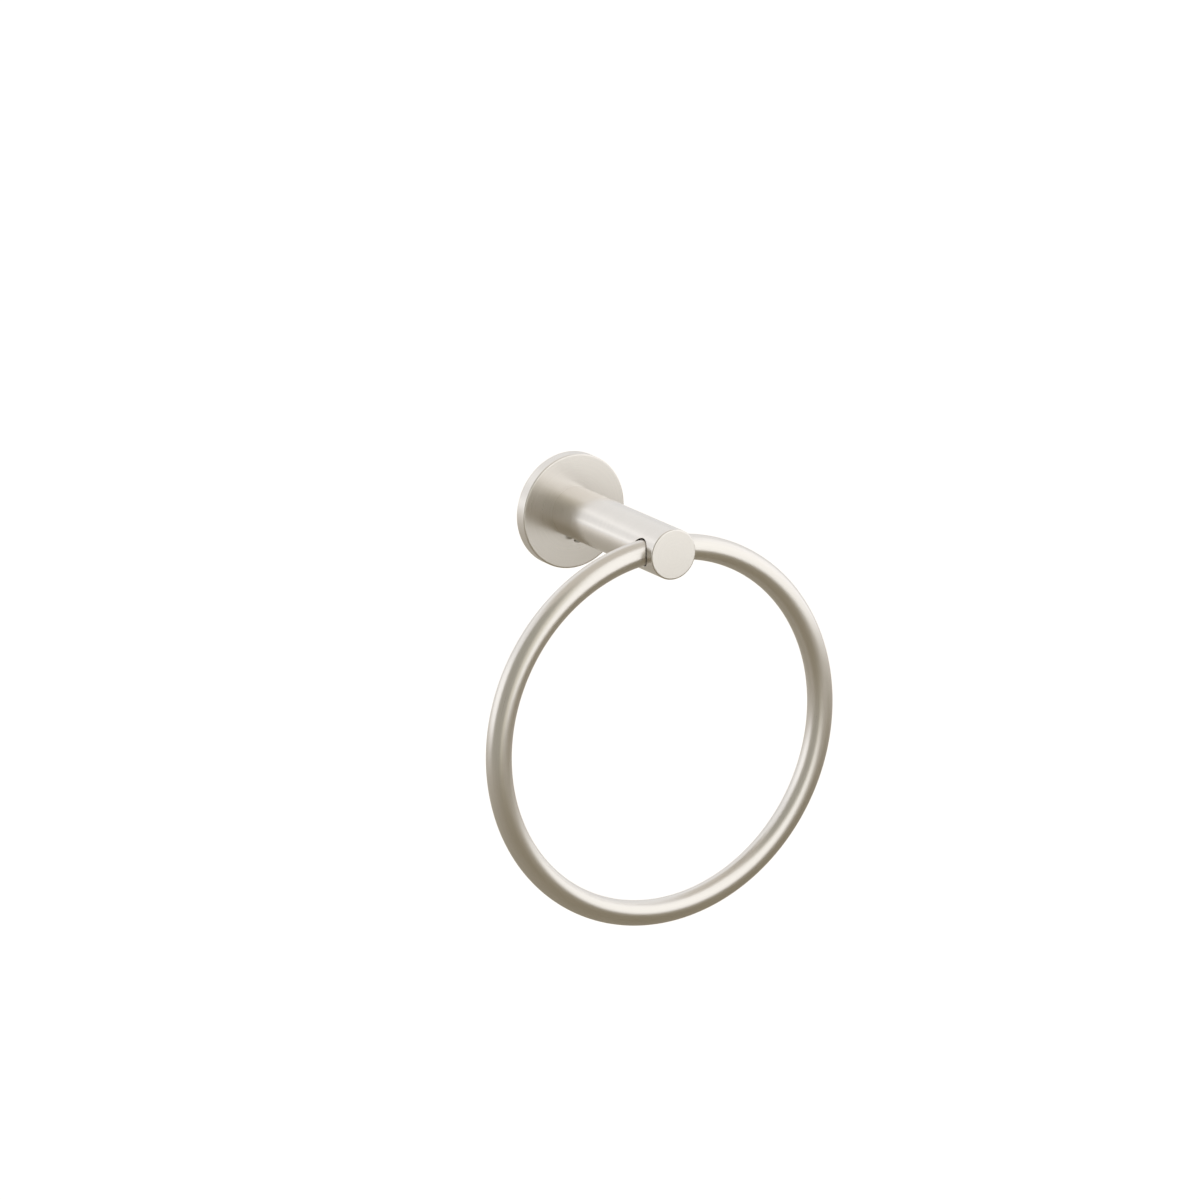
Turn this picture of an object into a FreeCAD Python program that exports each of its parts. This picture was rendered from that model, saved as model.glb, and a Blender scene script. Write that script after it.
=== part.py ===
import FreeCAD, Part
import math
import os
from enum import IntEnum

import Sketcher
from FreeCAD import Placement, Rotation, Vector

# Towel ring: a round flange on the wall, a round post standing out from it, and a closed
# ring of round bar that hangs in a plain cross hole near the post's front end.
#
# Part frame, in millimetres: the wall is the plane y = 0 and the part stands out from it
# along -Y. Z is up. The origin is the centre of the flange's back face.

# Every size that can be set by itself: name, value, what it is.
SIZES = (
    ("flange_dia", 50.5, "outer diameter of the flange"),
    ("flange_depth", 5.7, "from the wall to the flange's front face"),
    ("flange_face_wall", 1.6, "thickness of the flange's front wall"),
    ("flange_rim_wall", 1.7, "thickness of the flange's rim"),
    ("flange_edge_round", 0.7, "radius of the flange's front edge"),
    ("post_dia", 22.0, "diameter of the post"),
    ("projection", 86.6, "from the wall to the post's front face"),
    ("post_edge_round", 0.7, "radius of the post's front edge"),
    ("ring_bar_dia", 11.0, "diameter of the ring's bar"),
    ("ring_pitch_dia", 160.8, "diameter of the ring's centre line"),
    ("ring_setback", 10.2, "from the post's front face to the ring's plane"),
    ("ring_clearance", 0.06, "running clearance all round the bar in its hole"),
    ("hole_edge_break", 0.25, "rounding of the cross hole's two mouths"),
    ("plate_gap", 0.3, "gap between the bracket's disc and the flange's rim"),
    ("plate_depth", 3.0, "thickness of the bracket's disc"),
    ("stud_dia", 12.0, "diameter of the bracket's stud"),
    ("stud_reach", 24.0, "from the wall to the stud's front end"),
    ("stud_chamfer", 1.0, "chamfer on the stud's front end"),
    ("stud_root_round", 0.8, "fillet between the stud and the disc"),
    ("stud_clearance", 0.1, "clearance round the stud in the post and the flange"),
    ("bore_spare", 1.5, "space left in front of the stud in the post's bore"),
    ("bore_chamfer", 0.4, "chamfer at the mouth of the post's bore"),
    ("drill_angle", 118.0, "angle of the drill point that closes the bore"),
    ("set_screw_dia", 4.0, "thread diameter of the set screw"),
    ("set_screw_length", 8.0, "length of the set screw"),
    ("set_screw_from_flange", 3.5, "from the flange's front face to the screw's axis"),
    ("set_screw_clearance", 0.05, "clearance of the set screw in its hole and at its point"),
    ("set_screw_tip_dia", 1.2, "flat on the end of the set screw's point"),
    ("set_screw_end_chamfer", 0.35, "chamfer on the set screw's outer end"),
    ("socket_flats", 2.0, "width across the flats of the set screw's socket"),
    ("socket_depth", 2.5, "depth of the set screw's socket"),
    ("groove_depth", 1.7, "depth of the V groove round the stud"),
    ("groove_floor", 1.2, "width of the groove's flat floor"),
    ("groove_lead", 0.3, "how far the groove lies on the wall side of the screw"),
    ("wall_screw_spacing", 30.0, "distance between the two wall screw holes"),
    ("wall_screw_hole_dia", 4.8, "diameter of a wall screw hole"),
    ("wall_screw_head_dia", 8.4, "diameter of its countersink at the disc's face"),
    ("wall_screw_head_angle", 90.0, "angle of its countersink"),
)

TOLERANCE = 1e-6
FULL_TURN = 360.0

# Turned pieces are drawn with their axis along Z and then face away from the wall. The set
# screw is drawn the same way and then points down.
FACING_FRONT = Rotation(Vector(1, 0, 0), 90)
FACING_DOWN = Rotation(Vector(1, 0, 0), 180)

# Where a rough outline is drawn before its constraints shape it.
ROUGH_PLACE = 10.0

# Sizes that follow from the driving ones, as expressions of the sheet.
STUD_RADIUS = "(sizes.stud_dia / 2)"
STUD_BORE_RADIUS = "(sizes.stud_dia / 2 + sizes.stud_clearance)"
RIM_INNER_RADIUS = "(sizes.flange_dia / 2 - sizes.flange_rim_wall)"
PLATE_RADIUS = f"({RIM_INNER_RADIUS} - sizes.plate_gap)"
RING_RADIUS = "(sizes.ring_pitch_dia / 2)"
RING_PLANE = "(sizes.projection - sizes.ring_setback)"
# The straight hole has to pass a curved bar. Over the post's width the inside of the ring
# drops by this much, so the bar's top stands above the hole's axis by half of it.
RING_INSIDE = "((sizes.ring_pitch_dia - sizes.ring_bar_dia) / 2)"
RING_DROP = f"({RING_INSIDE} - sqrt({RING_INSIDE} ^ 2 - (sizes.post_dia / 2) ^ 2))"
RING_HOLE_RADIUS = f"(sizes.ring_bar_dia / 2 + {RING_DROP} / 2 + sizes.ring_clearance)"
SCREW_AXIS = "(sizes.flange_depth + sizes.set_screw_from_flange)"
SCREW_HOLE_RADIUS = "(sizes.set_screw_dia / 2 + sizes.set_screw_clearance)"
GROOVE_RADIUS = f"({STUD_RADIUS} - sizes.groove_depth)"
GROOVE_AXIS = f"({SCREW_AXIS} - sizes.groove_lead)"
# The screw's 90 degree point rests on the groove's front flank, which also slopes at 45
# degrees: this is how far the point's flat then stands from the stud's axis.
SCREW_TIP = (
    f"({GROOVE_RADIUS} + sizes.groove_lead + sizes.set_screw_tip_dia / 2"
    " - sizes.groove_floor / 2 + sizes.set_screw_clearance * sqrt(2))"
)


class Own(IntEnum):
    """How a sketch numbers its own origin and axes."""

    ORIGIN = -1
    ACROSS_AXIS = -1
    UP_AXIS = -2


class Point(IntEnum):
    """How a sketch numbers the points of a line or circle."""

    START = 1
    END = 2
    CENTRE = 3


def make_sheet(doc):
    """Write every driving size into a named cell of the sheet, with its meaning beside it."""
    sheet = doc.addObject("Spreadsheet::Sheet", "sizes")
    for row, (name, value, meaning) in enumerate(SIZES, start=1):
        sheet.set(f"A{row}", name)
        sheet.set(f"B{row}", str(value))
        sheet.set(f"C{row}", meaning)
        sheet.setAlias(f"B{row}", name)
    doc.recompute()
    return sheet


def make_body(doc, name, rotation, base=("0", "0", "0")):
    """A body called by its node's name, turned by rotation and set at base."""
    body = doc.addObject("PartDesign::Body", name)
    body.Label = name
    body.Placement = Placement(Vector(), rotation)
    for axis, expression in zip("xyz", base):
        body.setExpression(f"Placement.Base.{axis}", f"({expression}) * 1 mm")
    return body


def make_sketch(body, name, plane, offset=None):
    """An empty sketch on one of the body's own origin planes, lifted by offset."""
    sketch = body.newObject("Sketcher::SketchObject", name)
    faces = [item for item in body.Origin.OriginFeatures if item.Role == plane]
    sketch.AttachmentSupport = (faces[0], [""])
    sketch.MapMode = "FlatFace"
    if offset is not None:
        sketch.setExpression("AttachmentOffset.Base.z", f"({offset}) * 1 mm")
    return sketch


def bind(sketch, constraint, expression):
    """Tie the constraint's value to an expression of the sheet."""
    sketch.setExpression(f"Constraints[{constraint}]", expression)


def place_point(sketch, geometry, point, across, up):
    """Hold a point of a line or circle at (across, up) from the origin."""
    for kind, expression, on_axis in (
        ("DistanceX", across, Own.UP_AXIS),
        ("DistanceY", up, Own.ACROSS_AXIS),
    ):
        if expression == "0":
            sketch.addConstraint(Sketcher.Constraint("PointOnObject", geometry, point, on_axis))
        else:
            held = Sketcher.Constraint(kind, Own.ORIGIN, Point.START, geometry, point, 1.0)
            bind(sketch, sketch.addConstraint(held), expression)


def draw_polygon(sketch, sides, middle):
    """A closed rough outline of equal lines round a point, for constraints to shape."""
    turns = [2 * math.pi * side / sides for side in range(sides + 1)]
    corners = [middle + Vector(math.cos(turn), math.sin(turn), 0) for turn in turns]
    for side in range(sides):
        sketch.addGeometry(Part.LineSegment(corners[side], corners[side + 1]), False)
    for side in range(sides):
        following = (side + 1) % sides
        joined = Sketcher.Constraint("Coincident", side, Point.END, following, Point.START)
        sketch.addConstraint(joined)


def draw_profile(sketch, corners):
    """A closed outline of straight edges through corners, each one placed by expressions."""
    draw_polygon(sketch, len(corners), Vector(ROUGH_PLACE, ROUGH_PLACE, 0))
    for index, (across, up) in enumerate(corners):
        place_point(sketch, index, Point.START, across, up)


def draw_circle(sketch, across, up, radius):
    """A circle of the given radius about (across, up)."""
    circle = Part.Circle(Vector(1, 1, 0), Vector(0, 0, 1), 1.0)
    index = sketch.addGeometry(circle, False)
    place_point(sketch, index, Point.CENTRE, across, up)
    bind(sketch, sketch.addConstraint(Sketcher.Constraint("Radius", index, 1.0)), radius)


def draw_hexagon(sketch, flats):
    """A regular hexagon about the origin, given the width across its flats."""
    sides = 6
    draw_polygon(sketch, sides, Vector())
    guide = sketch.addGeometry(Part.Circle(Vector(), Vector(0, 0, 1), 1.0), True)
    for side in range(sides):
        sketch.addConstraint(Sketcher.Constraint("PointOnObject", side, Point.START, guide))
    for side in range(1, sides):
        sketch.addConstraint(Sketcher.Constraint("Equal", 0, side))
    centred = Sketcher.Constraint("Coincident", guide, Point.CENTRE, Own.ORIGIN, Point.START)
    sketch.addConstraint(centred)
    sketch.addConstraint(Sketcher.Constraint("PointOnObject", 0, Point.START, Own.ACROSS_AXIS))
    corner_radius = sketch.addConstraint(Sketcher.Constraint("Radius", guide, 1.0))
    bind(sketch, corner_radius, f"{flats} / sqrt(3)")


def revolve(body, sketch, name):
    """Turn the sketch once round its upright axis."""
    feature = body.newObject("PartDesign::Revolution", name)
    feature.Profile = sketch
    feature.ReferenceAxis = (sketch, ["V_Axis"])
    feature.Angle = FULL_TURN
    body.Document.recompute()
    return feature


def finish_cut(body, feature, before):
    """Build the cut and stop if it took nothing away."""
    body.Document.recompute()
    if feature.Shape.Volume > before - TOLERANCE:
        raise RuntimeError(f"{feature.Name} cuts nothing")
    return feature


def cut_through(body, sketch, name):
    """Cut the sketch right through the body, to both sides of its plane."""
    before = body.Shape.Volume
    feature = body.newObject("PartDesign::Pocket", name)
    feature.Profile = sketch
    feature.Type = "ThroughAll"
    feature.Midplane = True
    return finish_cut(body, feature, before)


def cut_one_way(body, sketch, name, length, reverse=False):
    """Cut the sketch to a length on one side of its plane."""
    before = body.Shape.Volume
    feature = body.newObject("PartDesign::Pocket", name)
    feature.Profile = sketch
    feature.Type = "Length"
    feature.Reversed = reverse
    feature.setExpression("Length", f"({length}) * 1 mm")
    return finish_cut(body, feature, before)


def edges_where(feature, test):
    """The names of the feature's edges that pass the test."""
    edges = enumerate(feature.Shape.Edges, start=1)
    return [f"Edge{number}" for number, edge in edges if test(edge)]


def is_circle(radius, height):
    """A test for an edge that is a circle of this radius about Z at this height."""

    def test(edge):
        curve = edge.Curve
        if not isinstance(curve, Part.Circle):
            return False
        return math.isclose(curve.Radius, radius, abs_tol=TOLERANCE) and math.isclose(
            curve.Center.z, height, abs_tol=TOLERANCE
        )

    return test


def is_mouth(hole):
    """A test for an edge where the cross hole, known by its circle's box, leaves the post."""

    def test(edge):
        box = edge.BoundBox
        beside_axis = box.XMin > 0 or box.XMax < 0
        in_hole = box.ZMin > hole.ZMin - TOLERANCE and box.ZMax < hole.ZMax + TOLERANCE
        return beside_axis and in_hole

    return test


def round_edges(body, name, edges, size_name):
    """A fillet of a named size on the given edges of the body's last feature."""
    base = body.Tip
    feature = body.newObject("PartDesign::Fillet", name)
    feature.Base = (base, edges)
    feature.setExpression("Radius", f"sizes.{size_name} * 1 mm")
    body.Document.recompute()
    return feature


def make_flange(doc, sheet):
    """The shallow round cover: a turned cup, open to the wall, with the stud's hole."""
    body = make_body(doc, "flange", FACING_FRONT)
    outer = "sizes.flange_dia / 2"
    inner_face = "sizes.flange_depth - sizes.flange_face_wall"
    profile = make_sketch(body, "flange_profile", "XZ_Plane")
    draw_profile(
        profile,
        (
            (STUD_BORE_RADIUS, "sizes.flange_depth"),
            (STUD_BORE_RADIUS, inner_face),
            (RIM_INNER_RADIUS, inner_face),
            (RIM_INNER_RADIUS, "0"),
            (outer, "0"),
            (outer, "sizes.flange_depth"),
        ),
    )
    cup = revolve(body, profile, "flange_cup")
    front_edge = edges_where(cup, is_circle(sheet.flange_dia / 2, sheet.flange_depth))
    round_edges(body, "flange_edge", front_edge, "flange_edge_round")
    return body


def make_post(doc, sheet):
    """The post: turned bar with a blind bore behind, the ring's hole and the tapped hole."""
    body = make_body(doc, "post", FACING_FRONT)
    outer = "sizes.post_dia / 2"
    bore_end = "(sizes.stud_reach + sizes.bore_spare)"
    drill_point = f"{bore_end} + {STUD_BORE_RADIUS} / tan(sizes.drill_angle / 2 * 1 deg)"
    profile = make_sketch(body, "post_profile", "XZ_Plane")
    draw_profile(
        profile,
        (
            ("0", drill_point),
            (STUD_BORE_RADIUS, bore_end),
            (STUD_BORE_RADIUS, "sizes.flange_depth + sizes.bore_chamfer"),
            (f"{STUD_BORE_RADIUS} + sizes.bore_chamfer", "sizes.flange_depth"),
            (outer, "sizes.flange_depth"),
            (outer, "sizes.projection"),
            ("0", "sizes.projection"),
        ),
    )
    bar = revolve(body, profile, "post_bar")
    front_edge = edges_where(bar, is_circle(sheet.post_dia / 2, sheet.projection))
    round_edges(body, "post_edge", front_edge, "post_edge_round")

    ring_hole = make_sketch(body, "ring_hole_circle", "YZ_Plane")
    draw_circle(ring_hole, "0", RING_PLANE, RING_HOLE_RADIUS)
    bored = cut_through(body, ring_hole, "ring_hole")
    mouths = edges_where(bored, is_mouth(ring_hole.Shape.BoundBox))
    round_edges(body, "hole_mouths", mouths, "hole_edge_break")

    screw_hole = make_sketch(body, "screw_hole_circle", "XZ_Plane")
    draw_circle(screw_hole, "0", SCREW_AXIS, SCREW_HOLE_RADIUS)
    cut_one_way(body, screw_hole, "screw_hole", "sizes.post_dia", reverse=True)
    return body


def make_bracket(doc, sheet):
    """The hidden bracket: a cast disc and a grooved stud, with two countersunk holes."""
    body = make_body(doc, "mounting_bracket", FACING_FRONT)
    groove_half = "sizes.groove_floor / 2"
    profile = make_sketch(body, "bracket_profile", "XZ_Plane")
    draw_profile(
        profile,
        (
            ("0", "0"),
            (PLATE_RADIUS, "0"),
            (PLATE_RADIUS, "sizes.plate_depth"),
            (STUD_RADIUS, "sizes.plate_depth"),
            (STUD_RADIUS, f"{GROOVE_AXIS} - {groove_half} - sizes.groove_depth"),
            (GROOVE_RADIUS, f"{GROOVE_AXIS} - {groove_half}"),
            (GROOVE_RADIUS, f"{GROOVE_AXIS} + {groove_half}"),
            (STUD_RADIUS, f"{GROOVE_AXIS} + {groove_half} + sizes.groove_depth"),
            (STUD_RADIUS, "sizes.stud_reach - sizes.stud_chamfer"),
            (f"{STUD_RADIUS} - sizes.stud_chamfer", "sizes.stud_reach"),
            ("0", "sizes.stud_reach"),
        ),
    )
    casting = revolve(body, profile, "bracket_casting")
    root_edge = edges_where(casting, is_circle(sheet.stud_dia / 2, sheet.plate_depth))
    round_edges(body, "stud_root", root_edge, "stud_root_round")

    centre = make_sketch(body, "wall_screw_centre", "XY_Plane", "sizes.plate_depth")
    draw_circle(centre, "0", "sizes.wall_screw_spacing / 2", "sizes.wall_screw_hole_dia / 2")
    before = body.Shape.Volume
    hole = body.newObject("PartDesign::Hole", "wall_screw_hole")
    hole.Profile = centre
    doc.recompute()
    hole.DepthType = "ThroughAll"
    hole.HoleCutType = "Countersink"
    hole.setExpression("Diameter", "sizes.wall_screw_hole_dia * 1 mm")
    hole.setExpression("HoleCutDiameter", "sizes.wall_screw_head_dia * 1 mm")
    hole.setExpression("HoleCutCountersinkAngle", "sizes.wall_screw_head_angle * 1 deg")
    finish_cut(body, hole, before)
    pair = body.newObject("PartDesign::PolarPattern", "wall_screw_holes")
    pair.Originals = [hole]
    pair.Axis = (centre, ["N_Axis"])
    pair.Angle = FULL_TURN
    pair.Occurrences = 2
    body.Tip = pair
    doc.recompute()
    return body


def make_set_screw(doc):
    """The set screw along its own axis, from its point at the origin to its socket end."""
    base = ("0", f"-{SCREW_AXIS}", f"-{SCREW_TIP}")
    body = make_body(doc, "set_screw", FACING_DOWN, base)
    outer = "sizes.set_screw_dia / 2"
    tip = "sizes.set_screw_tip_dia / 2"
    end_chamfer = "sizes.set_screw_end_chamfer"
    profile = make_sketch(body, "screw_profile", "XZ_Plane")
    draw_profile(
        profile,
        (
            ("0", "0"),
            (tip, "0"),
            (outer, f"{outer} - {tip}"),
            (outer, f"sizes.set_screw_length - {end_chamfer}"),
            (f"{outer} - {end_chamfer}", "sizes.set_screw_length"),
            ("0", "sizes.set_screw_length"),
        ),
    )
    revolve(body, profile, "screw_shank")

    hexagon = make_sketch(body, "socket_hexagon", "XY_Plane", "sizes.set_screw_length")
    draw_hexagon(hexagon, "sizes.socket_flats")
    cut_one_way(body, hexagon, "socket", "sizes.socket_depth")
    return body


def make_ring(doc):
    """The closed ring of round bar, hanging plumb with its top in the post's hole."""
    centre_height = f"{RING_DROP} / 2 - {RING_RADIUS}"
    body = make_body(doc, "ring", FACING_FRONT, ("0", f"-{RING_PLANE}", centre_height))
    section = make_sketch(body, "bar_section", "XZ_Plane")
    draw_circle(section, RING_RADIUS, "0", "sizes.ring_bar_dia / 2")
    revolve(body, section, "bent_bar")
    return body


def check(doc, bodies):
    """Stop if any feature failed or any piece isn't one sound solid."""
    for item in doc.Objects:
        if {"Invalid", "Error"} & set(item.State):
            raise RuntimeError(f"{item.Label} failed: {item.State}")
    for body in bodies:
        shape = body.Shape
        if shape.isNull() or not shape.isValid() or len(shape.Solids) != 1:
            raise RuntimeError(f"{body.Label} isn't one sound solid")


def main():
    """Build the towel ring and write one STEP file for each piece."""
    doc = FreeCAD.newDocument("towel_ring")
    sheet = make_sheet(doc)
    bodies = (
        make_flange(doc, sheet),
        make_post(doc, sheet),
        make_bracket(doc, sheet),
        make_set_screw(doc),
        make_ring(doc),
    )
    doc.recompute()
    check(doc, bodies)
    os.makedirs("parts", exist_ok=True)
    for body in bodies:
        body.Shape.exportStep(f"parts/{body.Label}.step")
        print(f"{body.Label}: {body.Shape.Volume:.1f} mm3")


main()
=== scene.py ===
"""The looks of a wall-mounted towel ring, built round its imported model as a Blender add-on.

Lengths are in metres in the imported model's frame: the wall is the plane y = 0, the part
stands out from it along -Y, and Z is up. Each piece is a set of patches, and each patch is
a grid of points worked out with numpy.
"""

import math

import bmesh
import bpy
import numpy as np
from bpy.props import FloatProperty, FloatVectorProperty, PointerProperty
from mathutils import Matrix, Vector


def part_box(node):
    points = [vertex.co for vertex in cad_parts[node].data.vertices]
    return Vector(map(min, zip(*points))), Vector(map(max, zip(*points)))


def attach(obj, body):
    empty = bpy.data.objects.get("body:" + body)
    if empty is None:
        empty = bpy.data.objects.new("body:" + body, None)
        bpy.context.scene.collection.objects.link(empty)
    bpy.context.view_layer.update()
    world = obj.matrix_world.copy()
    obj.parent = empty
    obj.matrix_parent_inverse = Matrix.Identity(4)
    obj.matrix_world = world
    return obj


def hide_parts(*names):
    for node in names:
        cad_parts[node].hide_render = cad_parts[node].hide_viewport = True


bl_info = {
    "name": "Towel ring",
    "version": (1, 0, 0),
    "blender": (4, 5, 0),
    "location": "View3D > Sidebar > Towel ring",
    "description": "Builds the visible pieces, the finishes and the studio of a towel ring",
    "category": "Object",
}

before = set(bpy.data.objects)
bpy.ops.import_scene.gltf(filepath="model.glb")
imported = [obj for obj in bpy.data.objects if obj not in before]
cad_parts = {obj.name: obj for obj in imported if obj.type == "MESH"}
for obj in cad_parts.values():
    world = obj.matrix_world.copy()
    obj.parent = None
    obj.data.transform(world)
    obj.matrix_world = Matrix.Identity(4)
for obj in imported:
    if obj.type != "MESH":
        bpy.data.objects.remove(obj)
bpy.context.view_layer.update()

FULL_TURN = 2 * math.pi
# Points closer than this are one point.
MERGE_DISTANCE = 1e-7
# How far from a corner the extra points lie that keep it crisp.
CREASE = 2e-5

# Faces round the post, the flange, the ring, the ring's bar and the set screw, and along each
# side of the window round a large and a small hole.
POST_FACES = 96
FLANGE_FACES = 192
RING_FACES = 360
BAR_FACES = 48
SCREW_FACES = 48
LARGE_HOLE_FACES = 24
SMALL_HOLE_FACES = 12
# Points along the set screw's thread.
THREAD_POINTS = 140

# Half the angle of the drill that made the post's blind bore, in degrees.
DRILL_HALF_ANGLE = 59

# The brushed finish: how long and wide a line is, how many times longer and wider a streak
# is, and how many clouds there are to a metre.
LINE_LENGTH = 0.008
LINE_WIDTH = 0.00009
STREAK_TIMES = 5.0
CLOUDS = 60.0

# Painted light on the floor: a glow, which turns it white. In the metal it is a painted
# reflection of a white sweep behind, which begins at one distance from a point in front of the
# part and is full at another, and the camera sees the glow evenly.
GLOW_COLOUR = (0.95, 0.96, 1.0)
GLOW_MIDDLE = (0.14, -0.4)
GLOW_START = 0.28
GLOW_END = 1.6
PAINTED_REFLECTION_GLOW = 0.55
GLOW_TO_CAMERA = 0.84
FLOOR_CENTRE = (0.1, -0.1)
FLOOR_CORNERS = 96


def span(node, axis):
    """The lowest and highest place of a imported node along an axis, 0 to 2 for x to z."""
    low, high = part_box(node)
    return low[axis], high[axis]


def width(node, axis):
    """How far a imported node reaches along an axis."""
    low, high = span(node, axis)
    return high - low


def middle(node, axis):
    """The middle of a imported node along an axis."""
    return sum(span(node, axis)) / 2


def length_property(name, description, default):
    """A length setting in metres."""
    return FloatProperty(
        name=name, description=description, default=default, min=0.0, unit="LENGTH", precision=5
    )


def colour_property(name, description, default):
    """A colour setting."""
    return FloatVectorProperty(
        name=name, description=description, default=default, min=0.0, max=1.0, subtype="COLOR"
    )


def share_property(name, description, default):
    """A setting from 0 to 1."""
    return FloatProperty(
        name=name, description=description, default=default, min=0.0, max=1.0, subtype="FACTOR"
    )


def brightness_property(name, description, default):
    """A brightness, where the white surroundings are 1."""
    return FloatProperty(name=name, description=description, default=default, min=0.0)


class RingSettings(bpy.types.PropertyGroup):
    """Sizes of the hanging ring."""

    bar_diameter: length_property("Bar diameter", "Thickness of the ring's bar", width("ring", 1))
    outer_diameter: length_property(
        "Outer diameter", "Diameter over the outside of the ring", width("ring", 0)
    )


class PostSettings(bpy.types.PropertyGroup):
    """Sizes of the post and of its holes."""

    diameter: length_property("Diameter", "Diameter of the post", width("post", 0))
    edge_round: length_property("Front edge", "Rounding of the post's front edge", 0.0007)
    ring_hole_diameter: length_property(
        "Ring hole", "Diameter of the cross hole that the ring hangs in", 0.011932
    )
    mouth_round: length_property("Hole mouths", "Rounding of the cross hole's mouths", 0.00025)
    bore_diameter: length_property("Bore", "Diameter of the blind bore at the back", 0.0122)
    bore_end: length_property("Bore end", "From the wall to the end of the bore", 0.0255)
    screw_hole_diameter: length_property(
        "Screw hole", "Diameter of the tapped hole underneath", 0.0041
    )


class FlangeSettings(bpy.types.PropertyGroup):
    """Sizes of the flange."""

    diameter: length_property("Diameter", "Diameter of the flange", width("flange", 0))
    edge_round: length_property("Front edge", "Rounding of the flange's front edge", 0.0007)
    rim_wall: length_property("Rim", "Thickness of the flange's rim", 0.0017)
    face_wall: length_property("Face", "Thickness of the flange's front wall", 0.0016)
    hole_diameter: length_property("Centre hole", "Diameter of the hole for the stud", 0.0122)


class ScrewSettings(bpy.types.PropertyGroup):
    """Sizes of the set screw."""

    diameter: length_property("Diameter", "Thread diameter", width("set_screw", 0))
    pitch: length_property("Pitch", "From one thread crest to the next", 0.0007)
    thread_depth: length_property("Thread depth", "From crest to root", 0.0004)
    socket_flats: length_property("Socket", "Width across the flats of the socket", 0.002)
    socket_depth: length_property("Socket depth", "Depth of the socket", 0.0025)
    tip_diameter: length_property("Point", "Flat on the end of the point", 0.0012)


class FinishSettings(bpy.types.PropertyGroup):
    """Colours and sheen of the finishes."""

    nickel: colour_property("Satin nickel", "Colour of the plated pieces", (0.748, 0.718, 0.682))
    nickel_roughness: share_property(
        "Nickel roughness", "How far the satin finish blurs what it mirrors", 0.3
    )
    post_roughness: share_property(
        "Post side roughness",
        "How far the finer finish round the post blurs what it mirrors",
        0.22,
    )
    grain_depth: length_property("Grain depth", "Depth of the brushed lines", 0.0000009)
    zinc: colour_property("Cast zinc", "Colour of the bracket", (0.42, 0.42, 0.43))
    steel: colour_property("Screw steel", "Colour of the set screw", (0.56, 0.55, 0.53))


class StudioSettings(bpy.types.PropertyGroup):
    """The camera's place and the strength of the studio's light."""

    azimuth: FloatProperty(
        name="Azimuth",
        description="The camera's turn from straight in front, positive to the right",
        default=math.radians(-31.55),
        subtype="ANGLE",
    )
    elevation: FloatProperty(
        name="Elevation",
        description="The camera's height above the level of the part",
        default=math.radians(16.0),
        subtype="ANGLE",
    )
    distance: length_property("Distance", "From the camera to the point it looks at", 4.196)
    target: FloatVectorProperty(
        name="Target",
        description="The point the camera looks at",
        default=(-0.007942, -0.039877, -0.030076),
        unit="LENGTH",
    )
    lens: FloatProperty(
        name="Lens",
        description="Focal length in millimetres on a 36 millimetre sensor",
        default=295.1,
        min=1.0,
        unit="CAMERA",
    )
    softbox: brightness_property("Softbox", "Brightness of the softboxes and strips", 1.28)
    card: brightness_property(
        "Grey card", "Brightness of the left card, and half that of the near one", 0.42
    )
    fill: brightness_property(
        "Fill", "Brightness that the surroundings give to matt surfaces", 0.37
    )
    floor_colour: colour_property("Floor", "Colour of the floor", (0.78, 0.685, 0.5))
    floor_drop: length_property("Floor drop", "From the part's origin down to the floor", 0.25)
    floor_radius: length_property("Floor radius", "Half the floor's width", 2.5)


def finish_mesh(name, patches):
    """Join grids of points into one closed mesh, with a layer that says how the grain runs.

    A patch is a pair of arrays: rows by columns of points, and rows by columns of grain
    places, which are turns along the grain and metres across it. Patches meet in equal
    points, which are merged, so seams and poles are closed.
    """
    points, grains, quads = [], [], []
    first = 0
    for grid, grain in patches:
        rows, columns = grid.shape[:2]
        index = first + np.arange(rows * columns).reshape(rows, columns)
        corners = (index[:-1, :-1], index[1:, :-1], index[1:, 1:], index[:-1, 1:])
        quads.append(np.stack(corners, axis=-1).reshape(-1, 4))
        points.append(grid.reshape(-1, 3))
        grains.append(grain.reshape(-1, 2))
        first += rows * columns
    faces = np.concatenate(quads)
    mesh = bpy.data.meshes.new(name)
    mesh.from_pydata(np.concatenate(points).tolist(), [], faces.tolist())
    layer = mesh.uv_layers.new(name="grain")
    layer.data.foreach_set("uv", np.concatenate(grains)[faces.ravel()].ravel())
    shape = bmesh.new()
    shape.from_mesh(mesh)
    bmesh.ops.remove_doubles(shape, verts=shape.verts[:], dist=MERGE_DISTANCE)
    bmesh.ops.recalc_face_normals(shape, faces=shape.faces[:])
    open_edges = [edge for edge in shape.edges if len(edge.link_faces) != 2]
    shape.to_mesh(mesh)
    shape.free()
    if open_edges:
        raise RuntimeError(f"{name} has {len(open_edges)} open edges")
    mesh.shade_smooth()
    return mesh


def make_piece(name, patches, material, body, node):
    """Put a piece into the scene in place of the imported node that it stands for."""
    piece = bpy.data.objects.new(name, finish_mesh(name, patches))
    bpy.context.scene.collection.objects.link(piece)
    piece.data.materials.append(material)
    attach(piece, body)
    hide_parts(node)


def creased(profile):
    """A profile with two more points close to each corner, so that its edges shade crisply.

    Every run longer than four creases gets a point one crease from each of its ends.
    """
    runs = np.diff(profile, axis=0)
    lengths = np.linalg.norm(runs, axis=1, keepdims=True)
    steps = runs / np.maximum(lengths, MERGE_DISTANCE) * CREASE
    after, before = profile[:-1] + steps, profile[1:] - steps
    long_run = lengths[:, 0] > 4 * CREASE
    corners = np.stack([profile[:-1], after, before], axis=1)
    keep = np.stack([np.ones_like(long_run), long_run, long_run], axis=1)
    return np.concatenate([corners[keep], profile[-1:]])


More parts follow.
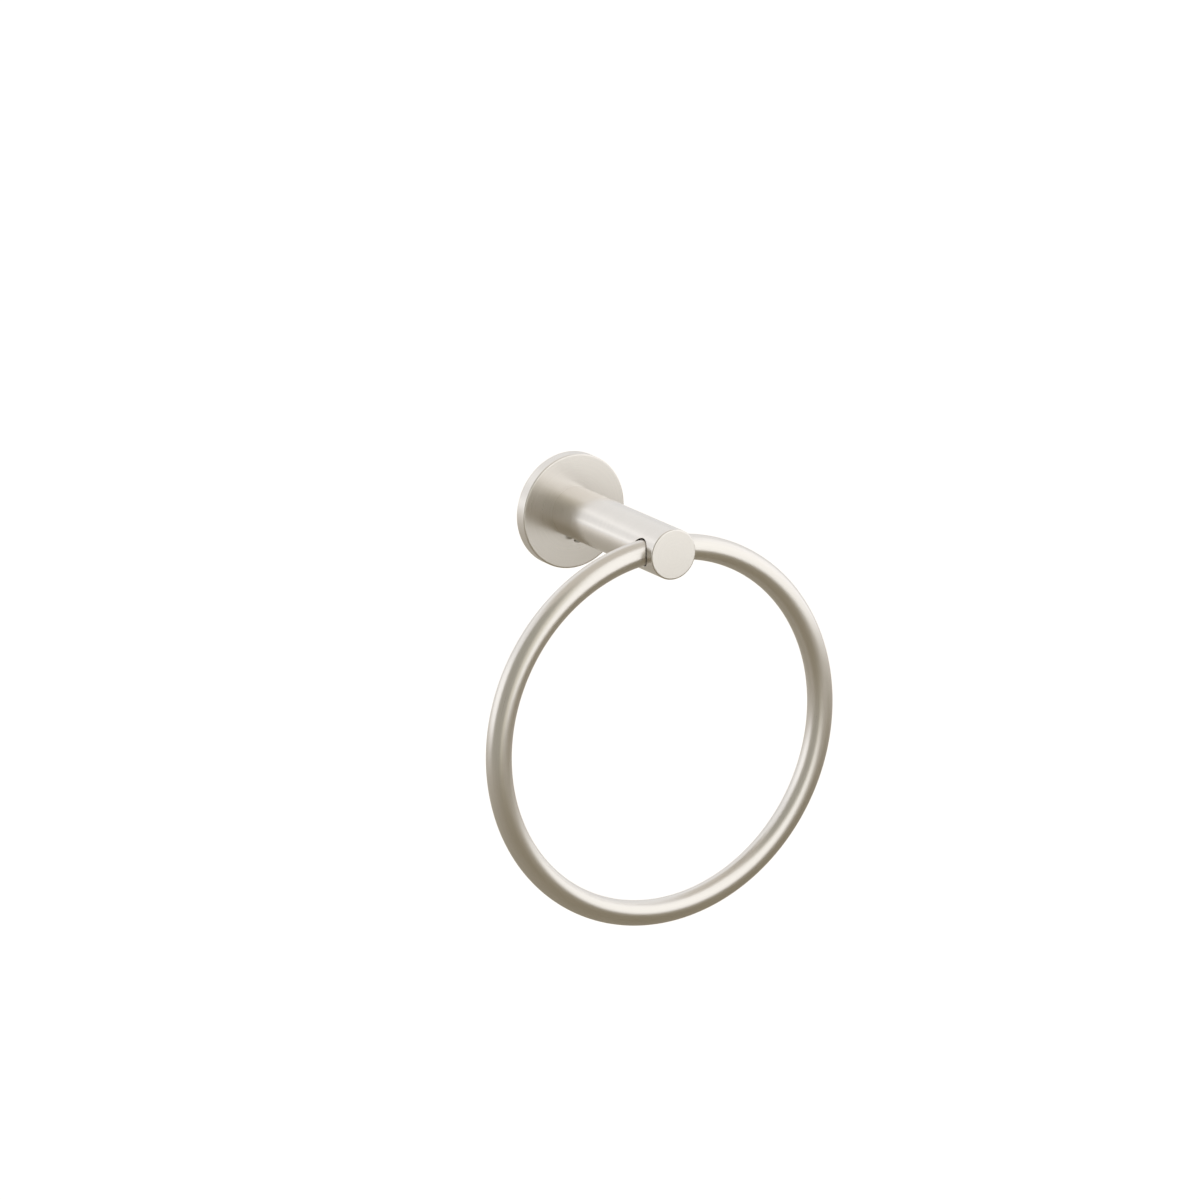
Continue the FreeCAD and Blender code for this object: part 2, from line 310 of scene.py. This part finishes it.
def rounded(centre, radius, start, end, steps=8):
    """Points along an arc of a profile, from one angle to another, in degrees."""
    angle = np.radians(np.linspace(start, end, steps + 1))[:, None]
    return np.array([centre]) + radius * np.hstack([np.cos(angle), np.sin(angle)])


def turned(profile, columns):
    """A profile of radius and depth carried once round the Y axis.

    A point at radius r and depth y goes to (r cos a, y, r sin a) for each angle a.
    """
    profile = creased(np.asarray(profile, float))
    turns = np.linspace(0, 1, columns + 1)[None, :]
    radius, depth = profile[:, :1], profile[:, 1:]
    angle = turns * FULL_TURN
    grid = np.stack(
        [radius * np.cos(angle), depth + 0 * angle, radius * np.sin(angle)], axis=-1
    )
    across = np.concatenate([[0], np.cumsum(np.linalg.norm(np.diff(profile, axis=0), axis=1))])
    return grid, np.stack(np.broadcast_arrays(turns, across[:, None]), axis=-1)


def on_cylinder(radius, depth, angle):
    """Points (r cos a, y, r sin a) of a cylinder about the Y axis, with their grain."""
    depth, angle = np.broadcast_arrays(depth, angle)
    grid = np.stack([radius * np.cos(angle), depth, radius * np.sin(angle)], axis=-1)
    return grid, np.stack([angle / FULL_TURN, depth], axis=-1)


def turned_about(grid, angle):
    """The same points turned about the Y axis, from the X axis towards the Z axis."""
    x, y, z = np.moveaxis(grid, -1, 0)
    c, s = math.cos(angle), math.sin(angle)
    return np.stack([c * x - s * z, y, s * x + c * z], axis=-1)


def round_hole(cells):
    """Angles once round a hole, cells steps to each side of its window, from a corner of it."""
    return np.linspace(0, FULL_TURN, 4 * cells + 1) - 0.75 * math.pi


def mouth(radius, hole_radius, edge_round, depth, cells):
    """Where a round hole along the X axis leaves a cylinder about the Y axis.

    A ball of the edge's radius rolls inside the cylinder and outside the hole. Its centre
    lies at the cylinder's radius less its own and at the hole's radius plus its own. For
    each angle round the hole this gives the ball's centre, the direction in which it touches
    the cylinder and the direction in which it touches the hole.
    """
    around = round_hole(cells)
    reach = hole_radius + edge_round
    y, z = reach * np.cos(around), reach * np.sin(around)
    x = np.sqrt((radius - edge_round) ** 2 - z**2)
    centre = np.stack([x, depth + y, z], axis=-1)
    outward = np.stack([x, 0 * x, z], axis=-1) / (radius - edge_round)
    inward = -np.stack([0 * x, y, z], axis=-1) / reach
    return centre, outward, inward


def mouth_edge(centre, outward, inward, edge_round, steps=6):
    """The rolling ball's own arc: its direction turns evenly from outward to inward."""
    angle = np.arccos(np.sum(outward * inward, axis=-1))[None, :, None]
    share = np.linspace(0, 1, steps + 1)[:, None, None]
    direction = np.sin((1 - share) * angle) * outward + np.sin(share * angle) * inward
    return centre + edge_round * direction / np.sin(angle)


def holed_band(radius, low, high, edge, turns, cells, columns):
    """A band of a cylinder with equal holes in it, and plain stretches between them.

    Each hole has a window of cells by cells faces, and turns says where the windows' middles
    lie, as shares of a full turn. A line runs from every point of the hole's edge to the
    window's border, straight in depth and angle, so it stays on the cylinder. Its second point
    lies close to the edge, which keeps the edge crisp.
    """
    half = cells / 2 * FULL_TURN / columns
    side = np.linspace(-1, 1, cells + 1)
    end = np.ones(cells)
    border_depth = np.concatenate([side[:-1], end, -side[:-1], -end, [-1]])
    border_angle = np.concatenate([-end, side[:-1], end, -side[:-1], [-1]]) * half
    border_depth = (low + high) / 2 + border_depth * (high - low) / 2
    edge_angle = np.arctan2(edge[:, 2], edge[:, 0])
    share = np.concatenate([[0, 0.02], np.linspace(0.1, 1, 10)])[:, None]
    depth = (1 - share) * edge[:, 1] + share * border_depth
    angle = (1 - share) * edge_angle + share * border_angle
    patches = []
    for turn in turns:
        patches.append(on_cylinder(radius, depth, angle + turn * FULL_TURN))
    starts = np.array(turns) * FULL_TURN + half
    stops = np.roll(starts, -1) - 2 * half
    stops[-1] += FULL_TURN
    for start, stop in zip(starts, stops):
        count = round((stop - start) / FULL_TURN * columns)
        rows = np.linspace(low, high, cells + 1)[:, None]
        patches.append(on_cylinder(radius, rows, np.linspace(start, stop, count + 1)[None, :]))
    return patches


def between(first, second, rows):
    """A straight wall between two closed lines of points, with its grain round it."""
    share = np.linspace(0, 1, rows + 1)[:, None, None]
    grid = (1 - share) * first + share * second
    turns = np.linspace(0, 1, len(first))[None, :]
    across = share[:, :, 0] * np.linalg.norm(second[0] - first[0])
    return grid, np.stack(np.broadcast_arrays(turns, across), axis=-1)


def with_grain(grid):
    """A small patch whose grain runs along its columns."""
    turns = np.linspace(0, 1, grid.shape[1])[None, :]
    across = np.linspace(0, 1, grid.shape[0])[:, None] * CREASE
    return grid, np.stack(np.broadcast_arrays(turns, across), axis=-1)


def ring_patches(ring):
    """A torus: the bar's circle carried round the ring's circle in the XZ plane.

    At angle a round the ring and b round the bar, the point lies (R + r cos b) from the
    ring's centre in the direction of a, and r sin b along Y. The seam is at the top, inside
    the post.
    """
    bar = ring.bar_diameter / 2
    circle = ring.outer_diameter / 2 - bar
    turns = np.linspace(0, 1, RING_FACES + 1)[None, :]
    round_bar = np.linspace(0, FULL_TURN, BAR_FACES + 1)[:, None]
    angle = turns * FULL_TURN + FULL_TURN / 4
    reach = circle + bar * np.cos(round_bar)
    grid = np.stack(
        [
            middle("ring", 0) + reach * np.cos(angle),
            middle("ring", 1) + bar * np.sin(round_bar) + 0 * angle,
            middle("ring", 2) + reach * np.sin(angle),
        ],
        axis=-1,
    )
    return [(grid, np.stack(np.broadcast_arrays(turns, round_bar * bar), axis=-1))]


def post_patches(post):
    """Turned bar with a blind bore, a cross hole for the ring and a tapped hole below.

    Profiles of radius and depth are carried round the Y axis, from the bore's end to the
    wall and on to the front. Where a hole is, a band with windows takes their place.
    """
    radius, bore = post.diameter / 2, post.bore_diameter / 2
    front, back = span("post", 1)
    edge = post.edge_round
    ring_depth, screw_depth = middle("ring", 1), middle("set_screw", 1)
    columns, wide, narrow = POST_FACES, LARGE_HOLE_FACES, SMALL_HOLE_FACES
    # Half the height of each window.
    ring_window, screw_window, bore_window = 0.0088, 0.0031, 0.0028
    bore_chamfer, screw_round = 0.0004, 0.0001
    drill_point = bore / math.tan(math.radians(DRILL_HALF_ANGLE))
    # Where the ring's two mouths and the screw's hole lie, as shares of a turn.
    sides, down = [0, 0.5], 0.75

    ring_mouth = mouth(radius, post.ring_hole_diameter / 2, post.mouth_round, ring_depth, wide)
    ring_edge = mouth_edge(*ring_mouth, post.mouth_round)
    screw_hole = post.screw_hole_diameter / 2
    screw_mouth = mouth(radius, screw_hole, screw_round, screw_depth, narrow)
    screw_edge = mouth_edge(*screw_mouth, screw_round)
    around = round_hole(narrow)
    across = screw_hole * np.sin(around)
    bore_edge = np.stack(
        [np.sqrt(bore**2 - across**2), screw_depth + screw_hole * np.cos(around), across], axis=-1
    )

    patches = [
        turned([(0, -post.bore_end - drill_point), (bore, -post.bore_end)], columns),
        turned([(bore, -post.bore_end), (bore, screw_depth - bore_window)], columns),
        *holed_band(
            bore,
            screw_depth - bore_window,
            screw_depth + bore_window,
            bore_edge,
            [down],
            narrow,
            columns,
        ),
        turned(
            [
                (bore, screw_depth + bore_window),
                (bore, back - bore_chamfer),
                (bore + bore_chamfer, back),
                (radius, back),
                (radius, screw_depth + screw_window),
            ],
            columns,
        ),
        *holed_band(
            radius,
            screw_depth - screw_window,
            screw_depth + screw_window,
            screw_edge[0],
            [down],
            narrow,
            columns,
        ),
        turned(
            [(radius, screw_depth - screw_window), (radius, ring_depth + ring_window)], columns
        ),
        *holed_band(
            radius,
            ring_depth - ring_window,
            ring_depth + ring_window,
            ring_edge[0],
            sides,
            wide,
            columns,
        ),
        turned(
            np.concatenate(
                [
                    [(radius, ring_depth - ring_window)],
                    rounded((radius - edge, front + edge), edge, 0, -90),
                    [(radius * share, front) for share in (0.75, 0.5, 0.25, 0)],
                ]
            ),
            columns,
        ),
    ]
    opposite = turned_about(ring_edge, math.pi)
    patches.append(with_grain(ring_edge))
    patches.append(with_grain(opposite))
    patches.append(between(ring_edge[-1], ring_edge[-1] * (-1, 1, 1), rows=16))
    lowered = turned_about(screw_edge, down * FULL_TURN)
    patches.append(with_grain(lowered))
    patches.append(between(lowered[-1], turned_about(bore_edge, down * FULL_TURN), rows=8))
    return patches


def flange_patches(flange):
    """A shallow cup, open to the wall: one closed profile carried round the Y axis."""
    front, back = span("flange", 1)
    outer, hole = flange.diameter / 2, flange.hole_diameter / 2
    inner, edge = outer - flange.rim_wall, flange.edge_round
    inside = front + flange.face_wall
    profile = np.concatenate(
        [
            [(outer, back)],
            rounded((outer - edge, front + edge), edge, 0, -90),
            [(outer * share, front) for share in (0.8, 0.6)],
            [(hole, front), (hole, inside), (inner, inside), (inner, back), (outer, back)],
        ]
    )
    return [turned(profile, FLANGE_FACES)]


def screw_patches(screw):
    """A cone-point set screw with its thread and hexagon socket, standing on the Z axis.

    The shank's radius falls from the crest by the thread's depth times a triangle wave of
    height over pitch less the turn, and the wave fades out at both ends. The socket's radius
    is half its flats over the cosine of the angle to the nearest flat's middle.
    """
    low, high = span("set_screw", 2)
    crest, tip = screw.diameter / 2, screw.tip_diameter / 2
    shoulder = high - (crest - tip)
    chamfer = 0.00035
    turns = np.linspace(0, 1, SCREW_FACES + 1)[None, :]
    height = np.linspace(low + chamfer, shoulder, THREAD_POINTS)[:, None]
    wave = np.abs(2 * ((height / screw.pitch - turns) % 1) - 1)
    fade = np.clip(np.minimum(height - low - chamfer, shoulder - height) / screw.pitch, 0, 1)
    shank = crest - screw.thread_depth * wave * fade
    flat_angle = (turns * FULL_TURN) % (math.pi / 3) - math.pi / 6
    socket = screw.socket_flats / 2 / np.cos(flat_angle)
    full = np.ones_like(turns)
    end = crest - chamfer
    rim = (end + screw.socket_flats / math.sqrt(3)) / 2
    floor = low + screw.socket_depth

    def ring_of(radii, heights):
        """Rows of radius and height as points about the screw's axis."""
        angle = turns * FULL_TURN
        return np.stack(
            [
                middle("set_screw", 0) + radii * np.cos(angle),
                middle("set_screw", 1) + radii * np.sin(angle),
                heights + 0 * angle,
            ],
            axis=-1,
        )

    def lofted(rows):
        """A patch through rows of radius and height, with creases beside its corners."""
        radii = np.concatenate([radius * full for radius, _ in rows])
        heights = np.array([[place] for _, place in rows])
        return with_grain(ring_of(radii, heights))

    return [
        with_grain(ring_of(shank, height)),
        lofted([(crest, shoulder), (tip, high), (0, high)]),
        lofted([(crest, low + chamfer), (end, low), (rim, low), (socket + CREASE, low)]),
        lofted([(socket + CREASE, low), (socket, low), (socket, low + CREASE)]),
        lofted([(socket, low + CREASE), (socket, floor - CREASE), (socket, floor)]),
        lofted([(socket, floor), (socket - CREASE, floor), (0, floor)]),
    ]


class NodeSheet:
    """A material's nodes, made and joined in one call each."""

    def __init__(self, name):
        self.material = bpy.data.materials.new(name)
        self.material.use_nodes = True
        self.nodes = self.material.node_tree.nodes
        self.links = self.material.node_tree.links
        self.nodes.clear()

    def add(self, kind, inputs=None, **settings):
        """A node with its settings, whose inputs are values or other nodes' sockets."""
        node = self.nodes.new(kind)
        for key, value in settings.items():
            setattr(node, key, value)
        for key, value in (inputs or {}).items():
            if isinstance(value, bpy.types.NodeSocket):
                self.links.new(value, node.inputs[key])
            else:
                node.inputs[key].default_value = value
        return node

    def calculate(self, operation, *values):
        """A Math node's result."""
        inputs = dict(enumerate(values))
        return self.add("ShaderNodeMath", inputs, operation=operation).outputs[0]

    def noise(self, vector, scale, detail, roughness=0.5):
        """A Noise Texture's grey result."""
        inputs = {"Vector": vector, "Scale": scale, "Detail": detail, "Roughness": roughness}
        return self.add("ShaderNodeTexNoise", inputs).outputs["Fac"]

    def between(self, value, low, high):
        """A value from 0 to 1 spread from low to high."""
        inputs = {"Value": value, "To Min": low, "To Max": high}
        return self.add("ShaderNodeMapRange", inputs).outputs["Result"]

    def surface(self, shader):
        """Put a shader on the surface, and hand the finished material over."""
        self.add("ShaderNodeOutputMaterial", {"Surface": shader})
        return self.material

    def metal(self, darkest, lightest, tone, roughness, relief, depth):
        """A metal whose tone runs from the darkest to the lightest colour, over a relief."""
        colour = self.add(
            "ShaderNodeMix", {"Factor": tone, "A": darkest, "B": lightest}, data_type="RGBA"
        )
        bump = self.add("ShaderNodeBump", {"Strength": 1.0, "Distance": depth, "Height": relief})
        shader = self.add(
            "ShaderNodeBsdfPrincipled",
            {
                "Base Color": colour.outputs["Result"],
                "Metallic": 1.0,
                "Roughness": roughness,
                "Normal": bump.outputs["Normal"],
            },
        )
        return self.surface(shader.outputs["BSDF"])


def rgba(colour, share=1.0):
    """A colour with its brightness scaled, as a node wants it."""
    return (*[channel * share for channel in colour], 1.0)


def satin_nickel(name, radius, side_roughness, finish):
    """Satin nickel plate over fine brushing, whose lines run round or along the piece.

    The grain layer's turns are bent into a circle of the piece's own radius, so the lines
    close on themselves. Fine lines tilt the surface and vary its sheen, and longer and wider
    streaks and a slow cloud vary the sheen and the plate's tone a little. Sides have their
    own roughness, and it passes into that of the faces as the surface turns to look along the
    Y axis.
    """
    sheet = NodeSheet(name)
    place = sheet.add("ShaderNodeUVMap", uv_map="grain").outputs["UV"]
    split = sheet.add("ShaderNodeSeparateXYZ", {"Vector": place})
    angle = sheet.calculate("MULTIPLY", split.outputs["X"], FULL_TURN)
    long_scale, fine_scale = radius / LINE_LENGTH, 1 / LINE_WIDTH
    grain = sheet.add(
        "ShaderNodeCombineXYZ",
        {
            "X": sheet.calculate("MULTIPLY", sheet.calculate("COSINE", angle), long_scale),
            "Y": sheet.calculate("MULTIPLY", sheet.calculate("SINE", angle), long_scale),
            "Z": sheet.calculate("MULTIPLY", split.outputs["Y"], fine_scale),
        },
    ).outputs["Vector"]
    lines = sheet.noise(grain, scale=1.0, detail=3.0, roughness=0.6)
    streaks = sheet.noise(grain, scale=1 / STREAK_TIMES, detail=2.0, roughness=0.6)
    coordinates = sheet.add("ShaderNodeTexCoord")
    cloud = sheet.noise(coordinates.outputs["Object"], scale=CLOUDS, detail=2.0)
    tone = sheet.calculate(
        "ADD", sheet.between(cloud, 0.0, 0.2), sheet.between(streaks, 0.0, 0.8)
    )
    facing = sheet.add("ShaderNodeSeparateXYZ", {"Vector": coordinates.outputs["Normal"]})
    roughness = sheet.between(
        sheet.calculate("ABSOLUTE", facing.outputs["Y"]), side_roughness, finish.nickel_roughness
    )
    slow = sheet.calculate(
        "ADD", sheet.between(cloud, -0.02, 0.02), sheet.between(streaks, -0.05, 0.05)
    )
    varied = sheet.calculate("ADD", roughness, slow)
    return sheet.metal(
        darkest=rgba(finish.nickel, 0.93),
        lightest=rgba(finish.nickel, 1.07),
        tone=tone,
        roughness=sheet.calculate("ADD", varied, sheet.between(lines, -0.02, 0.02)),
        relief=lines,
        depth=finish.grain_depth,
    )


def cast_zinc(finish):
    """As-cast zinc: dull, finely pitted, with slow grey clouds from the mould."""
    sheet = NodeSheet("cast_zinc_plain")
    place = sheet.add("ShaderNodeTexCoord").outputs["Object"]
    cloud = sheet.noise(place, scale=140.0, detail=4.0, roughness=0.6)
    pits = sheet.noise(place, scale=2600.0, detail=3.0, roughness=0.65)
    return sheet.metal(
        darkest=rgba(finish.zinc, 0.78),
        lightest=rgba(finish.zinc, 1.2),
        tone=cloud,
        roughness=sheet.between(cloud, 0.48, 0.66),
        relief=pits,
        depth=0.00003,
    )


def screw_steel(finish):
    """Plain steel as it comes from thread rolling: fine marks and a thin film of oil."""
    sheet = NodeSheet("screw_steel_plain")
    place = sheet.add("ShaderNodeTexCoord").outputs["Object"]
    marks = sheet.noise(place, scale=3000.0, detail=3.0, roughness=0.6)
    cloud = sheet.noise(place, scale=500.0, detail=2.0)
    return sheet.metal(
        darkest=rgba(finish.steel, 0.88),
        lightest=rgba(finish.steel, 1.08),
        tone=cloud,
        roughness=sheet.between(marks, 0.3, 0.42),
        relief=marks,
        depth=0.000008,
    )


class TOWELRING_OT_ring(bpy.types.Operator):
    """Make the hanging ring"""

    bl_idname = "towelring.ring"
    bl_label = "Ring"

    def execute(self, context):
        settings = context.scene.towel_ring
        finish = settings.finish
        circle = (settings.ring.outer_diameter - settings.ring.bar_diameter) / 2
        material = satin_nickel("satin_nickel_ring", circle, finish.nickel_roughness, finish)
        patches = ring_patches(settings.ring)
        make_piece("ring_bar", patches, material, "ring", "ring")
        return {"FINISHED"}


class TOWELRING_OT_post(bpy.types.Operator):
    """Make the post with its bore and holes"""

    bl_idname = "towelring.post"
    bl_label = "Post"

    def execute(self, context):
        settings = context.scene.towel_ring
        finish = settings.finish
        radius = settings.post.diameter / 2
        material = satin_nickel("satin_nickel_post", radius, finish.post_roughness, finish)
        patches = post_patches(settings.post)
        make_piece("post_bar", patches, material, "holder", "post")
        return {"FINISHED"}


class TOWELRING_OT_flange(bpy.types.Operator):
    """Make the round flange"""

    bl_idname = "towelring.flange"
    bl_label = "Flange"

    def execute(self, context):
        settings = context.scene.towel_ring
        finish = settings.finish
        radius = settings.flange.diameter / 2
        material = satin_nickel("satin_nickel_flange", radius, finish.nickel_roughness, finish)
        patches = flange_patches(settings.flange)
        make_piece("flange_cover", patches, material, "holder", "flange")
        return {"FINISHED"}


class TOWELRING_OT_screw(bpy.types.Operator):
    """Make the set screw with its thread and socket"""

    bl_idname = "towelring.screw"
    bl_label = "Set screw"

    def execute(self, context):
        settings = context.scene.towel_ring
        material = screw_steel(settings.finish)
        patches = screw_patches(settings.screw)
        make_piece("threaded_screw", patches, material, "holder", "set_screw")
        return {"FINISHED"}


class TOWELRING_OT_bracket(bpy.types.Operator):
    """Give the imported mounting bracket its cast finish"""

    bl_idname = "towelring.bracket"
    bl_label = "Mounting bracket"

    def execute(self, context):
        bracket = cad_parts["mounting_bracket"]
        bracket.material_slots[0].material = cast_zinc(context.scene.towel_ring.finish)
        return {"FINISHED"}


def make_camera(studio):
    """A long lens that looks at the target from the given turn and height."""
    camera = bpy.data.objects.new("camera", bpy.data.cameras.new("camera"))
    bpy.context.scene.collection.objects.link(camera)
    level = math.cos(studio.elevation)
    back = Vector(
        (
            math.sin(studio.azimuth) * level,
            -math.cos(studio.azimuth) * level,
            math.sin(studio.elevation),
        )
    )
    camera.location = Vector(studio.target) + back * studio.distance
    camera.rotation_euler = back.to_track_quat("Z", "Y").to_euler()
    camera.data.sensor_width = 36.0
    camera.data.lens = studio.lens
    camera.data.clip_end = 50.0
    bpy.context.scene.camera = camera


def make_panel(name, corner, across, up, colour, radiance):
    """A flat studio panel from one corner along two sides, seen only in the metal.

    Its radiance is that of white surroundings times the given number: above 1 it is a
    softbox, and below 1 a grey card.
    """
    sheet = NodeSheet(name)
    glow = sheet.add("ShaderNodeEmission", {"Color": rgba(colour), "Strength": radiance})
    material = sheet.surface(glow.outputs["Emission"])
    material.cycles.emission_sampling = "NONE"
    corner, across, up = Vector(corner), Vector(across), Vector(up)
    mesh = bpy.data.meshes.new(name)
    corners = (corner, corner + across, corner + across + up, corner + up)
    mesh.from_pydata(corners, [], [(0, 1, 2, 3)])
    mesh.materials.append(material)
    panel = bpy.data.objects.new(name, mesh)
    bpy.context.scene.collection.objects.link(panel)
    panel.visible_camera = False
    panel.visible_diffuse = False
    panel.visible_shadow = False


def studio_panels(studio):
    """Each panel's name, corner, two sides, colour and radiance."""
    box, card = studio.softbox, studio.card
    white, front = (1.0, 1.0, 1.0), (1.0, 0.997, 0.975)
    grey, warm = (1.0, 0.94, 0.84), (1.0, 0.965, 0.835)
    return (
        ("front_softbox", (-0.062, -0.378, -0.133), (0.96, 0, 0), (0, 0, 0.8), front, box),
        ("right_softbox", (1.1, -0.5, -0.1), (0, 0.72, 0), (0, 0, 1.3), white, box),
        ("back_softbox", (-0.75, 0.0, -0.14), (0.2, 0.6, 0), (0, 0, 0.42), white, box),
        ("back_card", (1.1, 0.25, -0.1), (-0.85, 0.85, 0), (0, 0, 0.45), white, 0.88),
        ("low_strip", (-0.5, 0.37, -0.01), (0.32, 0, 0), (0, 0, 0.055), white, box),
        ("high_strip", (-0.42, 0.37, 0.2), (0.38, 0, 0), (0, 0, 0.055), white, box),
        ("far_card", (0.25, 1.1, -0.1), (-0.9, 0, 0), (0, 0, 0.45), white, 0.86),
        ("ceiling", (-0.7, -0.7, 1.0), (1.2, 0, 0), (0, 1.4, 0), grey, 0.7),
        ("near_card", (0.14, -1.074, -0.25), (-0.4, 0.479, 0), (0, 0, 2.2), warm, card * 2.0),
        ("left_card", (-0.26, -0.595, -0.25), (-0.57, 0.692, 0), (0, 0, 2.2), warm, card),
    )


def make_world(studio):
    """White surroundings for the camera and in the metal, and a plain fill for matt things."""
    world = bpy.data.worlds.new("studio")
    bpy.context.scene.world = world
    world.use_nodes = True
    world.cycles.sampling_method = "NONE"
    nodes, links = world.node_tree.nodes, world.node_tree.links
    path = nodes.new("ShaderNodeLightPath")
    seen = path.outputs["Is Camera Ray"]
    for ray in ("Is Glossy Ray", "Is Transmission Ray"):
        either = nodes.new("ShaderNodeMath")
        either.operation = "MAXIMUM"
        links.new(seen, either.inputs[0])
        links.new(path.outputs[ray], either.inputs[1])
        seen = either.outputs[0]
    strength = nodes.new("ShaderNodeMapRange")
    strength.inputs["To Min"].default_value = studio.fill
    links.new(seen, strength.inputs["Value"])
    background = nodes["Background"]
    background.inputs["Color"].default_value = (1.0, 1.0, 1.0, 1.0)
    links.new(strength.outputs["Result"], background.inputs["Strength"])


def make_floor(studio):
    """A plain pale floor that the camera sees as white, with the part's own faint shadow.

    In the metal it shows plain below the part and turns white with the distance from a point
    in front of it. This is a painted reflection, a glow seen only in the metal, which stands in
    for a floor that sweeps up into a white wall behind. A camera below the floor looks through
    it.
    """
    sheet = NodeSheet("pale_floor")
    matt = sheet.add(
        "ShaderNodeBsdfPrincipled",
        {"Base Color": rgba(studio.floor_colour), "Roughness": 0.9, "Specular IOR Level": 0.1},
    )
    place = sheet.add("ShaderNodeTexCoord").outputs["Object"]
    distance = sheet.add(
        "ShaderNodeVectorMath",
        {0: place, 1: (*GLOW_MIDDLE, -studio.floor_drop)},
        operation="DISTANCE",
    ).outputs["Value"]
    # Painted reflection: the floor glows for glossy rays, more with the distance from a point in
    # front, as a white sweep behind would.
    painted_sweep = sheet.add(
        "ShaderNodeMapRange",
        {
            "Value": distance,
            "From Min": GLOW_START,
            "From Max": GLOW_END,
            "To Min": 0.0,
            "To Max": PAINTED_REFLECTION_GLOW,
        },
    ).outputs["Result"]
    path = sheet.add("ShaderNodeLightPath")
    painted_reflection = sheet.calculate("MULTIPLY", path.outputs["Is Glossy Ray"], painted_sweep)
    to_camera = sheet.calculate("MULTIPLY", path.outputs["Is Camera Ray"], GLOW_TO_CAMERA)
    strength = sheet.calculate("ADD", painted_reflection, to_camera)
    white = sheet.add("ShaderNodeEmission", {"Color": rgba(GLOW_COLOUR), "Strength": strength})
    both = sheet.add(
        "ShaderNodeAddShader", {0: matt.outputs["BSDF"], 1: white.outputs["Emission"]}
    )
    below = sheet.calculate(
        "MULTIPLY",
        sheet.add("ShaderNodeNewGeometry").outputs["Backfacing"],
        path.outputs["Is Camera Ray"],
    )
    clear = sheet.add("ShaderNodeBsdfTransparent").outputs["BSDF"]
    seen = sheet.add("ShaderNodeMixShader", {0: below, 1: both.outputs["Shader"], 2: clear})
    material = sheet.surface(seen.outputs["Shader"])
    material.cycles.emission_sampling = "NONE"
    turn = np.linspace(0, FULL_TURN, FLOOR_CORNERS + 1)[:-1]
    rim = np.stack([np.cos(turn), np.sin(turn), 0 * turn], axis=-1) * studio.floor_radius
    mesh = bpy.data.meshes.new("floor")
    rim += (*FLOOR_CENTRE, -studio.floor_drop)
    mesh.from_pydata(rim.tolist(), [], [list(range(FLOOR_CORNERS))])
    mesh.materials.append(material)
    floor = bpy.data.objects.new("floor", mesh)
    bpy.context.scene.collection.objects.link(floor)


class TOWELRING_OT_studio(bpy.types.Operator):
    """Make the camera, the light and the floor"""

    bl_idname = "towelring.studio"
    bl_label = "Studio"

    def execute(self, context):
        studio = context.scene.towel_ring.studio
        context.scene.view_settings.view_transform = "Standard"
        make_camera(studio)
        make_world(studio)
        make_floor(studio)
        for panel in studio_panels(studio):
            make_panel(*panel)
        return {"FINISHED"}


class TowelRingSettings(bpy.types.PropertyGroup):
    """Everything that can be set."""

    ring: PointerProperty(type=RingSettings)
    post: PointerProperty(type=PostSettings)
    flange: PointerProperty(type=FlangeSettings)
    screw: PointerProperty(type=ScrewSettings)
    finish: PointerProperty(type=FinishSettings)
    studio: PointerProperty(type=StudioSettings)


OPERATORS = (
    TOWELRING_OT_ring,
    TOWELRING_OT_post,
    TOWELRING_OT_flange,
    TOWELRING_OT_screw,
    TOWELRING_OT_bracket,
    TOWELRING_OT_studio,
)


class TOWELRING_PT_panel(bpy.types.Panel):
    """Every step and every setting, in the 3D view's sidebar"""

    bl_label = "Towel ring"
    bl_idname = "TOWELRING_PT_panel"
    bl_space_type = "VIEW_3D"
    bl_region_type = "UI"
    bl_category = "Towel ring"

    def draw(self, context):
        for operator in OPERATORS:
            self.layout.operator(operator.bl_idname)
        settings = context.scene.towel_ring
        for group in settings.__annotations__:
            column = self.layout.column(align=True)
            column.label(text=group.capitalize())
            values = getattr(settings, group)
            for name in values.__annotations__:
                column.prop(values, name)


CLASSES = (
    RingSettings,
    PostSettings,
    FlangeSettings,
    ScrewSettings,
    FinishSettings,
    StudioSettings,
    TowelRingSettings,
    *OPERATORS,
    TOWELRING_PT_panel,
)


def register():
    """Add the classes and the scene's settings."""
    for item in CLASSES:
        bpy.utils.register_class(item)
    bpy.types.Scene.towel_ring = PointerProperty(type=TowelRingSettings)


def unregister():
    """Take the settings and the classes away again."""
    del bpy.types.Scene.towel_ring
    for item in reversed(CLASSES):
        bpy.utils.unregister_class(item)


def main():
    """Make every piece and the studio."""
    register()
    bpy.ops.towelring.ring()
    bpy.ops.towelring.post()
    bpy.ops.towelring.flange()
    bpy.ops.towelring.screw()
    bpy.ops.towelring.bracket()
    bpy.ops.towelring.studio()


if __name__ == "__main__":
    main()
